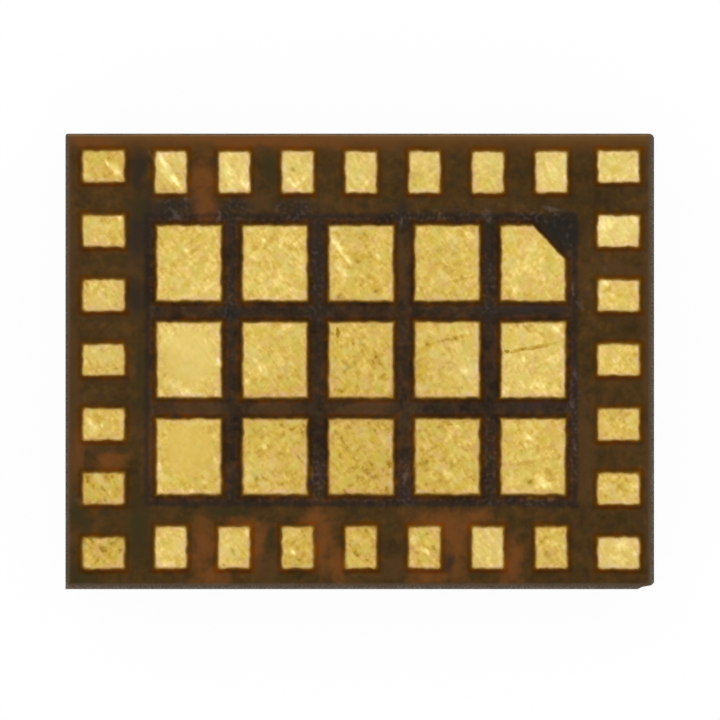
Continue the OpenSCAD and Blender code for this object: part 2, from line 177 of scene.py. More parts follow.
DARK_MARKS = (
    (-1.38, 1.48, -1.34, 1.42, 0.03), (-1.44, 1.39, -1.39, 1.34, 0.04),
    (-0.58, 1.53, -0.44, 1.46, 0.05), (-0.06, 1.50, 0.03, 1.47, 0.05),
    (-0.55, -1.44, -0.42, -1.35, 0.03), (-0.51, -1.52, -0.46, -1.57, 0.04),
    (0.04, -1.32, 0.06, -1.37, 0.05), (0.09, -1.39, 0.10, -1.43, 0.04),
    (-0.05, -1.47, -0.02, -1.52, 0.05), (0.40, -1.32, 0.46, -1.39, 0.03),
    (0.46, -1.41, 0.53, -1.33, 0.03), (0.46, -1.41, 0.55, -1.47, 0.03),
    (0.97, -1.42, 1.07, -1.51, 0.02), (0.99, -1.50, 1.00, -1.52, 0.04),
    (1.45, -1.49, 1.50, -1.53, 0.06), (-1.00, -1.46, -0.98, -1.55, 0.05),
    (0.40, -1.44, 0.41, -1.46, 0.04), (-2.13, 0.61, -2.12, 0.57, 0.04),
    (-2.06, -0.41, -2.00, -0.45, 0.05), (-2.13, -0.90, -2.09, -0.96, 0.07),
    (-1.98, -0.89, -1.96, -0.96, 0.05), (-2.04, -0.96, -1.95, -1.05, 0.03),
    (-2.01, -1.46, -1.99, -1.48, 0.04), (-1.88, -1.47, -1.87, -1.49, 0.04),
    (1.91, 1.54, 1.98, 1.47, 0.03), (1.91, -0.40, 2.16, -0.41, 0.05),
    (2.08, -0.91, 2.10, -0.94, 0.04), (2.01, -0.96, 2.07, -1.01, 0.05),
    (-0.58, 0.78, -0.51, 0.70, 0.03), (0.11, 0.55, 0.13, 0.54, 0.05),
    (-0.03, 1.01, 0.06, 0.99, 0.04), (-0.06, 0.81, 0.00, 0.76, 0.05),
    (0.46, 0.97, 0.50, 0.92, 0.05), (-0.69, 0.18, -0.62, 0.19, 0.05),
    (-0.17, 0.26, -0.17, 0.17, 0.04), (-0.17, 0.18, -0.17, 0.11, 0.02),
    (-0.13, -0.08, -0.06, -0.04, 0.04), (0.10, 0.08, 0.14, 0.01, 0.05),
    (0.53, 0.14, 0.54, 0.12, 0.05), (1.56, -0.15, 1.57, -0.21, 0.04),
    (0.66, -0.49, 0.78, -0.49, 0.02), (0.63, -0.61, 0.68, -0.57, 0.03),
    (0.71, -0.79, 0.73, -0.82, 0.04), (0.49, -0.94, 0.55, -0.97, 0.05),
    (0.83, -0.91, 0.89, -0.90, 0.03), (1.25, -0.62, 1.28, -0.65, 0.04),
    (1.39, -0.66, 1.40, -0.68, 0.04), (1.29, -0.97, 1.36, -0.92, 0.04),
    (-0.83, -0.53, -0.81, -0.55, 0.05), (-0.74, -0.51, -0.72, -0.52, 0.04),
    (-0.63, -0.49, -0.59, -0.51, 0.04), (-0.84, -0.88, -0.78, -0.94, 0.06),
    (-0.78, -0.85, -0.74, -0.93, 0.03), (-0.20, -0.54, -0.19, -0.56, 0.04),
    (0.03, -0.85, 0.11, -0.91, 0.04),
)
# Painted highlights along strokes on the gold, and scratches on it, each with its strength at the
# end
GLEAMS = (
    (-1.61, 1.68, -1.36, 1.30, 0.062, 1.0), (-1.10, 1.60, -0.87, 1.33, 0.06, 0.5),
    (-0.58, 1.46, -0.48, 1.35, 0.04, 0.5), (-0.23, 0.98, -0.08, 0.76, 0.044, 0.40),
    (-0.20, 0.82, -0.08, 0.66, 0.04, 0.35), (-1.40, 0.92, -1.31, 0.80, 0.034, 0.4),
    (0.44, -1.36, 0.56, -1.52, 0.04, 0.4), (-1.95, 1.56, -1.88, 1.46, 0.04, 0.1),
    (1.24, -0.11, 1.48, -0.21, 0.16, 0.42), (1.46, 1.56, 1.55, 1.40, 0.10, 0.35),
    (1.98, -1.42, 2.08, -1.43, 0.09, 0.35), (-2.11, -0.46, -2.07, -0.55, 0.06, 0.50),
    (-1.48, -0.17, -1.32, -0.24, 0.14, 0.38),
)
SCRATCHES = (
    (1.06, 0.05, 1.66, 0.17, 0.04, 0.45), (1.24, 0.08, 1.54, 0.14, 0.034, 0.65),
    (1.14, 0.08, 1.16, 0.08, 0.035, 0.8), (0.50, 0.13, 0.94, 0.225, 0.038, 0.28),
    (0.66, 0.61, 0.89, 0.66, 0.03, 0.25), (1.13, -0.82, 1.48, -0.75, 0.05, 0.2),
    (-0.17, 0.26, -0.17, 0.19, 0.034, 0.8),
)
# Patches of the gold: the middle of each, and how far it reaches along X and Y
POLISHED_PATCHES = ((-1.335, 0.03, 0.26, 0.30), (-1.335, -0.70, 0.26, 0.30))
OCHRE_PATCHES = (
    (-1.23, 0.96, 0.07, 0.05), (0.12, 0.77, 0.07, 0.05), (0.51, 0.73, 0.05, 0.06),
    (0.71, 0.57, 0.08, 0.04), (1.18, 0.87, 0.07, 0.08), (0.97, 1.40, 0.06, 0.05),
    (0.46, 1.41, 0.06, 0.05), (-0.44, -1.45, 0.07, 0.06), (-0.91, -1.49, 0.05, 0.09),
    (-0.08, -0.21, 0.06, 0.09), (-0.80, -0.62, 0.05, 0.08), (-0.08, -0.77, 0.05, 0.07),
    (0.50, -0.04, 0.06, 0.11), (1.19, 0.17, 0.09, 0.09), (1.33, 0.17, 0.06, 0.05),
    (-2.03, -1.05, 0.06, 0.05), (-1.37, -0.93, 0.09, 0.06), (0.82, -0.96, 0.07, 0.05),
    (1.41, -0.51, 0.06, 0.06), (1.45, 0.83, 0.06, 0.05), (-1.47, -1.44, 0.07, 0.07),
    (1.99, 1.50, 0.09, 0.05), (2.01, 0.48, 0.11, 0.05), (1.16, -0.66, 0.05, 0.07),
    (-0.06, 0.56, 0.08, 0.05),
)
PALER_PATCHES = (
    (2.02, 1.05, 0.50, 0.40), (2.02, -1.50, 0.40, 0.30), (1.00, -1.45, 0.30, 0.30),
    (1.49, 1.48, 0.35, 0.30), (-1.33, 0.05, 0.42, 0.50), (-2.00, 0.25, 0.30, 0.50),
    (-1.20, -1.45, 0.60, 0.22), (1.02, -0.02, 0.70, 0.45),
)
# Where the gold is duller or lighter, in the same way, and by how much
GOLD_SHADES = (
    (0.05, -0.80, 1.35, 1.50, -0.21), (-2.05, -1.28, 0.45, 0.55, -0.34),
    (-2.00, 0.00, 0.35, 0.90, -0.06), (-2.00, 1.55, 0.35, 0.35, -0.13),
    (-2.00, -0.99, 0.30, 0.25, -0.04), (2.00, 1.10, 0.75, 1.10, 0.20),
    (-1.00, 1.50, 0.90, 0.30, 0.09), (1.50, 1.55, 0.30, 0.30, 0.08),
    (-1.00, 0.50, 0.90, 0.70, 0.12), (1.70, 0.00, 0.70, 0.45, 0.14),
    (1.35, 0.77, 0.30, 0.35, 0.16), (1.35, 0.01, 0.22, 0.22, -0.03),
    (0.01, 0.77, 0.35, 0.40, -0.07), (0.68, 0.77, 0.35, 0.40, -0.05),
    (-1.47, 1.48, 0.30, 0.30, -0.09), (2.02, -1.50, 0.30, 0.30, 0.10),
    (1.49, -1.45, 0.30, 0.30, -0.08), (1.00, -1.45, 0.25, 0.25, 0.08),
    (-1.47, -1.45, 0.30, 0.30, 0.07),
)


def tone(red, green, blue):
    """Turns a tone as a screen shows it, 0 to 255, into the linear colour that materials take."""
    return tuple(
        level / 12.92 if level <= 0.04045 else ((level + 0.055) / 1.055) ** 2.4
        for level in (red / 255, green / 255, blue / 255)
    )


class ChipSizes(bpy.types.PropertyGroup):
    """Sizes of the fine detail that the solids leave out."""

    pad_lap: FloatProperty(
        name="Pad lap", default=0.03 * MM, min=0.0, unit="LENGTH",
        description="How far the copper of a signal land reaches under the lacquer",
    )
    signal_corner: FloatProperty(
        name="Signal land corner", default=0.024 * MM, min=0.001 * MM, unit="LENGTH",
        description="Radius of the corners of the small lands",
    )
    ground_corner: FloatProperty(
        name="Ground land corner", default=0.014 * MM, min=0.001 * MM, unit="LENGTH",
        description="Radius of the corners of the large lands",
    )
    index_cut: FloatProperty(
        name="Index cut", default=0.26 * MM, min=0.0, unit="LENGTH",
        description="Length cut off both sides of the index land's corner",
    )
    outline_step: FloatProperty(
        name="Outline step", default=0.012 * MM, min=0.005 * MM, unit="LENGTH",
        description="Distance between the points along an etched outline",
    )
    land_rim: FloatProperty(
        name="Land rim", default=0.046 * MM, min=0.001 * MM, unit="LENGTH",
        description="Width of the dull rim inside the edge of a land",
    )
    rim_fall: FloatProperty(
        name="Rim fall", default=0.001 * MM, min=0.0001 * MM, unit="LENGTH",
        description="How far the rim of a land drops to its edge",
    )
    window_flare: FloatProperty(
        name="Window flare", default=0.080 * MM, min=0.0, unit="LENGTH",
        description="Width of the rounded lip of the lacquer round a window",
    )
    wander: FloatProperty(
        name="Wander", default=0.018 * MM, min=0.0, unit="LENGTH",
        description="How far etched and sawn outlines wander to either side",
    )


class ChipColours(bpy.types.PropertyGroup):
    """Colours of the finishes."""

    gold: FloatVectorProperty(
        name="Gold", default=tone(217, 189, 101), min=0.0, max=1.0, subtype="COLOR",
        description="Main tone of the plated lands",
    )
    lacquer: FloatVectorProperty(
        name="Lacquer", default=tone(77, 54, 24), min=0.0, max=1.0, subtype="COLOR",
        description="Main tone of the lacquer round the signal lands",
    )
    lacquer_on_copper: FloatVectorProperty(
        name="Lacquer on copper", default=tone(52, 40, 28), min=0.0, max=1.0, subtype="COLOR",
        description="Tone of the lacquer over the ground copper",
    )
    moulding: FloatVectorProperty(
        name="Moulding", default=tone(58, 57, 58), min=0.0, max=1.0, subtype="COLOR",
        description="Tone of the moulding compound",
    )
    laminate: FloatVectorProperty(
        name="Laminate", default=tone(128, 118, 92), min=0.0, max=1.0, subtype="COLOR",
        description="Tone of the sawn glass laminate",
    )
    copper: FloatVectorProperty(
        name="Copper", default=tone(208, 138, 106), min=0.0, max=1.0, subtype="COLOR",
        description="Tone of bare copper",
    )


# Modelling


def select_only(piece):
    """Leaves only this piece selected and active."""
    bpy.ops.object.select_all(action="DESELECT")
    piece.select_set(True)
    bpy.context.view_layer.objects.active = piece


def place_in_mesh(piece):
    """Moves the piece's place, turn and scale into its mesh."""
    select_only(piece)
    bpy.ops.object.transform_apply(location=True, rotation=True, scale=True)


def pick(piece, kind, wanted):
    """Selects the vertices, edges or faces of the piece in edit mode that wanted holds for."""
    bpy.ops.mesh.select_mode(type=kind)
    bpy.ops.mesh.select_all(action="DESELECT")
    shape = bmesh.from_edit_mesh(piece.data)
    elements = {"VERT": shape.verts, "EDGE": shape.edges, "FACE": shape.faces}[kind]
    found = [element for element in elements if wanted(element)]
    if not found:
        raise RuntimeError(f"{piece.name} has nothing to select here")
    for element in found:
        element.select_set(True)
    bmesh.update_edit_mesh(piece.data)


def pick_all_faces():
    bpy.ops.mesh.select_mode(type="FACE")
    bpy.ops.mesh.select_all(action="SELECT")


def cut_corners(offset, segments):
    """Bevels the selected corners: one segment cuts them straight, and more round them."""
    bpy.ops.mesh.bevel(offset=offset, segments=segments, affect="VERTICES", clamp_overlap=False)


def divide_long_edges(piece, step):
    """Divides each edge that is much longer than the step into edges about as long as it."""
    shape = bmesh.from_edit_mesh(piece.data)
    lengths = {round(edge.calc_length() / step) for edge in shape.edges}
    for count in sorted(lengths):
        if count > 2:
            pick(piece, "EDGE", lambda edge: round(edge.calc_length() / step) == count)
            bpy.ops.mesh.subdivide(number_cuts=count - 1)


def extrude_edge_loop(piece, drop, centre, grow=(1.0, 1.0)):
    """Extrudes the selected edge loop by a height, and widens it about the centre."""
    bpy.ops.mesh.extrude_edges_move(TRANSFORM_OT_translate={"value": (0, 0, drop)})
    if grow != (1.0, 1.0):
        bpy.ops.transform.resize(value=(*grow, 1), center_override=centre)


def turn_faces_outwards():
    """Turns all faces of the piece in edit mode outwards, and leaves edit mode."""
    bpy.ops.mesh.select_all(action="SELECT")
    bpy.ops.mesh.normals_make_consistent(inside=False)
    bpy.ops.object.mode_set(mode="OBJECT")


def wander_outline(piece, width):
    """Lets the outlines wander sideways, by the same amount at the same place on every piece."""
    ruler = bpy.data.objects.new("ruler", None)
    bpy.context.scene.collection.objects.link(ruler)
    ruler.scale = (MM, MM, MM)
    bpy.context.view_layer.update()
    select_only(piece)
    for direction, grain in OUTLINE_WAVES.items():
        name = "etching " + direction
        clouds = bpy.data.textures.get(name) or bpy.data.textures.new(name, "CLOUDS")
        clouds.noise_scale = grain
        clouds.noise_depth = 1
        bpy.ops.object.modifier_add(type="DISPLACE")
        wave = piece.modifiers[-1]
        wave.texture = clouds
        wave.texture_coords = "OBJECT"
        wave.texture_coords_object = ruler
        wave.direction = direction
        wave.mid_level = 0.5
        wave.strength = width
        bpy.ops.object.modifier_apply(modifier=wave.name)
    bpy.data.objects.remove(ruler)


def cut_away(piece, cutter):
    """Cuts the cutter's shape out of the piece, and removes the cutter."""
    select_only(piece)
    bpy.ops.object.modifier_add(type="BOOLEAN")
    cut = piece.modifiers[-1]
    cut.operation = "DIFFERENCE"
    cut.solver = "EXACT"
    cut.object = cutter
    bpy.ops.object.modifier_apply(modifier=cut.name)
    bpy.data.objects.remove(cutter)


def middle(low, high):
    return [(a + b) / 2 for a, b in zip(low, high)]


def copy_to(piece, name, offset):
    """Copies a piece, mesh and all, to another place."""
    select_only(piece)
    bpy.ops.object.duplicate(linked=False)
    copy = bpy.context.object
    copy.name = name
    copy.data.name = name
    copy.location = offset
    place_in_mesh(copy)
    return copy


def copy_to_lands(first, label, nodes):
    """Copies what is modelled at the first of these lands to the others."""
    start = middle(*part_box(nodes[0]))
    pieces = [first]
    for node in nodes[1:]:
        place = middle(*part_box(node))
        pieces.append(copy_to(first, label + node, [a - b for a, b in zip(place, start)]))
    return pieces


def window_of(node, sizes):
    """The lowest and highest corner of the window that shows a land."""
    low, high = (list(corner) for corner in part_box(node))
    lap = sizes.pad_lap if node in SIGNAL_LANDS else 0.0
    for axis in (0, 1):
        low[axis] += lap
        high[axis] -= lap
    return low, high


def model_outline(name, low, high, height, rounded, sizes, cut=0.0):
    """Models the flat outline of a window, a plane with rounded corners, left in edit mode."""
    centre = middle(low, high)
    centre[2] = height
    width, depth = high[0] - low[0], high[1] - low[1]
    bpy.ops.object.select_all(action="DESELECT")
    bpy.ops.mesh.primitive_plane_add(size=width, location=centre)
    piece = bpy.context.object
    piece.name = piece.data.name = name
    place_in_mesh(piece)
    bpy.ops.object.mode_set(mode="EDIT")
    bpy.ops.mesh.select_all(action="SELECT")
    bpy.ops.transform.resize(value=(1, depth / width, 1), center_override=centre)
    if cut:
        pick(piece, "VERT", lambda v: v.co.x > centre[0] and v.co.y > centre[1])
        cut_corners(cut, 1)
        # The two blunt corners that the cut leaves, and then the three square ones
        pick(piece, "VERT", lambda v: v.co.x + v.co.y > centre[0] + centre[1] + 0.1 * width)
        cut_corners(rounded * math.tan(math.radians(22.5)), 4)
        corners = [(x, y) for x in (low[0], high[0]) for y in (low[1], high[1])]
        pick(piece, "VERT", lambda v: any(math.dist(v.co[:2], c) < NEAR for c in corners))
    else:
        bpy.ops.mesh.select_all(action="SELECT")
    cut_corners(rounded, 6)
    divide_long_edges(piece, sizes.outline_step)
    return piece, centre, width, depth


def model_land(name, node, sizes):
    """Models a land: its face with a fallen rim, its wall, and a signal land's pad."""
    low, high = window_of(node, sizes)
    cut = sizes.index_cut if node == INDEX_LAND else 0.0
    rounded = sizes.signal_corner if node in SIGNAL_LANDS else sizes.ground_corner
    piece, centre, width, depth = model_outline(name, low, high, FACE_OF_LANDS, rounded, sizes, cut)
    pick_all_faces()
    bpy.ops.mesh.inset(thickness=0.0, use_boundary=True)
    rims = 2 * sizes.land_rim
    bpy.ops.transform.resize(value=(1 - rims / width, 1 - rims / depth, 1), center_override=centre)
    pick(piece, "EDGE", lambda edge: edge.is_boundary)
    bpy.ops.transform.translate(value=(0, 0, -sizes.rim_fall))
    extrude_edge_loop(piece, TOP_OF_COPPER - FACE_OF_LANDS + sizes.rim_fall, centre)
    if node in SIGNAL_LANDS:
        lap = 2 * sizes.pad_lap
        extrude_edge_loop(piece, 0.0, centre, ((width + lap) / width, (depth + lap) / depth))
        extrude_edge_loop(piece, FLOOR_OF_PADS - TOP_OF_COPPER, centre)
    bpy.ops.mesh.edge_face_add()
    turn_faces_outwards()
    return piece


def model_window_cutter(node, sizes):
    """Models what a land keeps free in the lacquer: the land and the flared window over it."""
    low, high = window_of(node, sizes)
    centre = middle(low, high)
    width, depth = high[0] - low[0], high[1] - low[1]
    cutter = model_land("window_" + node, node, sizes)
    bpy.ops.object.mode_set(mode="EDIT")
    pick(cutter, "VERT", lambda v: v.co.z < low[2] + NEAR)
    bpy.ops.transform.translate(value=(0, 0, -BELOW_LAND))
    edge = FACE_OF_LANDS - sizes.rim_fall
    pick(cutter, "FACE", lambda face: min(v.co.z for v in face.verts) > edge - NEAR)
    bpy.ops.mesh.delete(type="FACE")
    pick(cutter, "EDGE", lambda side: side.is_boundary)
    lip = TOP_OF_LACQUER - edge
    reach = 0.0
    for rise, flare in LIP_PROFILE:
        before = 2 * reach * sizes.window_flare
        reach += flare
        after = 2 * reach * sizes.window_flare
        past = PAST_LIP if (rise, flare) == LIP_PROFILE[-1] else 0.0
        grow = ((width + after) / (width + before), (depth + after) / (depth + before))
        extrude_edge_loop(cutter, rise * lip + past, centre, grow)
    extrude_edge_loop(cutter, PAST_LACQUER, centre)
    bpy.ops.mesh.edge_face_add()
    turn_faces_outwards()
    return cutter


# Materials


class Field:
    """A value that changes over a surface: a node's socket, and sums on it add Math nodes."""

    def __init__(self, shading, socket):
        self.shading = shading
        self.socket = socket

    def math(self, operation, *values):
        return self.shading.node("Math", {"operation": operation}, values)

    def __add__(self, other):
        return self.math("ADD", self, other)

    def __sub__(self, other):
        return self.math("SUBTRACT", self, other)

    def __rsub__(self, other):
        return self.math("SUBTRACT", other, self)

    def __mul__(self, other):
        return self.math("MULTIPLY", self, other)

    def __truediv__(self, other):
        return self.math("DIVIDE", self, other)

    def __abs__(self):
        return self.math("ABSOLUTE", self)

    __radd__ = __add__
    __rmul__ = __mul__

    def larger(self, other):
        return self.math("MAXIMUM", self, other)

    def smaller(self, other):
        return self.math("MINIMUM", self, other)

    def step(self, low, high):
        """Rises smoothly from 0 at low to 1 at high, or falls where low is the larger."""
        range_of = {"Value": self, "From Min": low, "From Max": high}
        return self.shading.node("MapRange", {"interpolation_type": "SMOOTHSTEP"}, range_of)


def largest(fields):
    """The largest of several values at each place."""
    return reduce(Field.larger, fields)


class Shading:
    """The nodes of a material or of the world."""

    def __init__(self, owner):
        self.owner = owner
        owner.use_nodes = True
        self.tree = owner.node_tree
        self.tree.nodes.clear()

    def node(self, kind, settings=None, inputs=(), output=0):
        """Adds a node: its settings first, then the values or links of its sockets."""
        node = self.tree.nodes.new("ShaderNode" + kind)
        for name, value in (settings or {}).items():
            if name == "stops":
                stops = node.color_ramp.elements
                while len(stops) < len(value):
                    stops.new(0.5)
                for stop, (position, colour) in zip(stops, value):
                    stop.position = position
                    stop.color = (*colour[:3], 1)
            else:
                setattr(node, name, value)
        pairs = inputs.items() if isinstance(inputs, dict) else enumerate(inputs)
        for name, value in pairs:
            if isinstance(value, Field):
                self.tree.links.new(value.socket, node.inputs[name])
            elif hasattr(value, "__len__") and node.inputs[name].type == "RGBA":
                node.inputs[name].default_value = (*value[:3], 1)
            else:
                node.inputs[name].default_value = value
        return Field(self, node.outputs[output]) if node.outputs else None


class Finish(Shading):
    """One material on object coordinates, in millimetres."""

    def __init__(self, name):
        super().__init__(bpy.data.materials.new(name))
        place = self.node("TexCoord", output="Object")
        self.place = self.node("VectorMath", {"operation": "SCALE"}, {0: place, "Scale": 1 / MM})
        self.x, self.y, self.z = self.parts(self.place)

    def parts(self, vector):
        """A vector's parts along X, Y and Z."""
        split = self.node("SeparateXYZ", inputs=[vector]).socket.node
        return [Field(self, socket) for socket in split.outputs]

    def facing(self, axis):
        """How far the surface faces along an axis: 1 straight along it, and -1 against it."""
        return self.parts(self.node("TexCoord", output="Normal"))[axis]

    def stretched(self, reach, angle=0.0, centre=(0, 0), at=None):
        """Places measured from a centre, along turned axes, in units of the reach along each."""
        places = {
            "Vector": at or self.place,
            "Location": (*centre, 0),
            "Rotation": (0, 0, math.radians(angle)),
            "Scale": reach,
        }
        return self.node("Mapping", {"vector_type": "TEXTURE"}, places)

    def speckle(self, output, scale, seed, detail=2.0, at=None):
        """Noise whose patches are about 1 / scale millimetres wide."""
        shape = {"Vector": at or self.place, "W": seed, "Scale": scale, "Detail": detail}
        return self.node("TexNoise", {"noise_dimensions": "4D"}, shape, output)

    def noise(self, *shape):
        """Noise from about -0.3 to 0.3: its scale, seed, detail and places."""
        return self.speckle("Fac", *shape) - 0.5

    def shifted(self, scale, seed, reach):
        """Places moved about by noise, so that the edges of patches turn uneven."""
        cloud = self.speckle("Color", scale, seed)
        centred = self.node("VectorMath", {"operation": "SUBTRACT"}, [cloud, (0.5, 0.5, 0.5)])
        moved = self.node("VectorMath", {"operation": "SCALE"}, {0: centred, "Scale": reach})
        return self.node("VectorMath", {"operation": "ADD"}, [self.place, moved])

    def patch(self, x, y, reach_x, reach_y, angle=0.0, at=None):
        """A soft oval patch: 1 in its middle and 0 from its edge on, at any height."""
        local = self.stretched((reach_x, reach_y, 1000), angle, (x, y), at)
        return self.node("TexGradient", {"gradient_type": "SPHERICAL"}, [local], "Fac")

    def patches(self, places, widen=1.0, at=None):
        """Several soft oval patches, each widened by a factor."""
        return largest(
            self.patch(x, y, reach_x * widen, reach_y * widen, at=at)
            for x, y, reach_x, reach_y in places
        )

    def streak(self, x_from, y_from, x_to, y_to, width, at):
        """A straight mark that fades out round both ends."""
        run, rise = x_to - x_from, y_to - y_from
        x, y = (x_from + x_to) / 2, (y_from + y_to) / 2
        reach = (math.hypot(run, rise) + width) / 2
        return self.patch(x, y, reach, width / 2, math.degrees(math.atan2(rise, run)), at)

    def streaks(self, marks, widen, at):
        """Several straight marks, each widened by a factor."""
        return largest(self.streak(*ends, width * widen, at) for *ends, width in marks)

    def mix(self, factor, first, second, blend="MIX"):
        """Mixes two colours, the second over the first by the factor."""
        kind = {"data_type": "RGBA", "blend_type": blend}
        return self.node("Mix", kind, {0: factor, 6: first, 7: second}, 2)

    def ramp(self, factor, *stops):
        """Runs through colours, each at its stop of the factor."""
        return self.node("ValToRGB", {"stops": stops}, [factor], "Color")

    def bump(self, height, depth):
        """The normal of a relief whose height field spans depth millimetres."""
        return self.node("Bump", inputs={"Strength": 1.0, "Distance": depth * MM, "Height": height})

    def surface(self, sockets):
        """Ends the finish with its shader."""
        self.node("OutputMaterial", inputs=[self.node("BsdfPrincipled", inputs=sockets)])
        return self.owner


def gold_finish(colours, sizes):
    """Matt gold on etched copper: leathery mottling, marks from handling with painted glints, and a
    soft rim with a painted highlight.
    """
    f = Finish("land gold")
    strewn = f.shifted(5.0, 5.5, 0.06)
    drag, crossing = (
        f.noise(1.0, seed, 1.0, f.stretched((0.075, 0.030, 0.06), angle, at=strewn))
        for seed, angle in ((2.0, -54), (2.5, 41))
    )
    leather = f.noise(13.0, 1.0, 1.5)
    grain = f.noise(28.0, 1.5, 1.0)
    cloud = f.noise(3.5, 3.0, 1.0)
    polished = f.patches(POLISHED_PATCHES).step(0.10, 0.45)
    texture = leather * 0.50 + grain * 0.48
    texture = texture + drag * (cloud + 0.5) * 1.20 + crossing * (0.5 - cloud) * 0.80

    uneven = f.shifted(13.0, 5.8, 0.035)
    broken = 0.90 + grain * 0.6 + leather * 0.4
    worn = f.streaks(DARK_MARKS, 1.3, uneven).step(0.0, 0.95)
    bright = f.streaks(PALE_MARKS, 1.4, uneven).step(0.0, 0.85)
    cuts = largest(f.streak(*mark, uneven).step(0.0, 0.6) * depth for *mark, depth in SCRATCHES)
    # Painted highlight: glints brighten the gold along strokes
    glints = largest(f.streak(*mark, uneven).step(0.0, 0.7) * share for *mark, share in GLEAMS)
    clear = (glints * 0.40 - cuts * 0.60) * (1 + grain * 0.9)
    texture = texture + (bright * 0.37 - worn * 0.25) * broken + clear

    light = 0.40 + texture * (1 - polished * 0.8) + cloud * 0.15
    for *patch, amount in GOLD_SHADES:
        light = light + f.patch(*patch) * amount
    base = f.ramp(
        light,
        (0.00, tone(152, 118, 32)), (0.09, tone(174, 141, 50)), (0.17, tone(186, 153, 63)),
        (0.26, tone(195, 162, 73)), (0.42, tone(210, 180, 89)), (0.50, colours.gold),
        (0.63, tone(228, 201, 118)), (0.83, tone(243, 221, 139)), (0.98, tone(255, 238, 168)),
    )
    for seed, scale, low, high, share, tint in (
        (4.0, 9.0, -0.04, 0.16, 0.60, (199, 184, 89)),
        (5.0, 12.0, 0.00, 0.16, 0.50, (210, 172, 108)),
        (6.0, 11.0, 0.02, 0.18, 0.50, (197, 167, 58)),
        (7.0, 8.0, 0.05, 0.20, 0.35, (212, 196, 130)),
    ):
        tinted = f.noise(scale, seed).step(low, high) * share
        base = f.mix(tinted * (1 - polished * 0.6 - cuts), base, tone(*tint))
    top_row = f.y.step(1.15, 1.60) * f.x.step(-1.9, -1.6)
    paler = top_row.larger(f.patches(PALER_PATCHES).step(0.0, 0.9))
    base = f.mix(paler * 0.22 - cuts, base, tone(228, 212, 146))
    ochre = f.patches(OCHRE_PATCHES, at=uneven).step(0.0, 0.9)
    base = f.mix(ochre * broken * 0.50, base, tone(206, 178, 66))

    # The rim gets a painted highlight that makes it greyer and paler, weaker on the upper and left
    # sides as painted shade, and the rim is brown at its edge
    rim = (FACE_OF_LANDS / MM - f.z) / (sizes.rim_fall / MM) + leather * 0.25
    # Painted shade: rims that face up the picture and rims that face left get less of the painted
    # highlight
    shaded_rim_sides = f.facing(1).step(0.004, 0.014).larger(f.facing(0).step(-0.004, -0.014))
    rim_highlight = (0.5 + f.noise(9.0, 9.0, 1.0).step(-0.15, 0.15) * 0.5) * (1 - shaded_rim_sides * 0.40)
    base = f.mix(rim.step(0.0, 0.45) * rim_highlight, base, (1.00, 0.95, 1.50), "MULTIPLY")
    base = f.mix(rim.step(0.55, 1.08), base, tone(128, 96, 46))
    return f.surface({
        "Base Color": base,
        "Metallic": 1.0,
        "Roughness": 0.50 + drag * 0.2,
        "Normal": f.bump(leather * 0.6 + drag * 0.5 - worn * 0.3, 0.003),
    })


def sides_of(node):
    """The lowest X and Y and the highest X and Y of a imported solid, in millimetres."""
    low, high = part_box(node)
    return [side / MM for side in (*low[:2], *high[:2])]


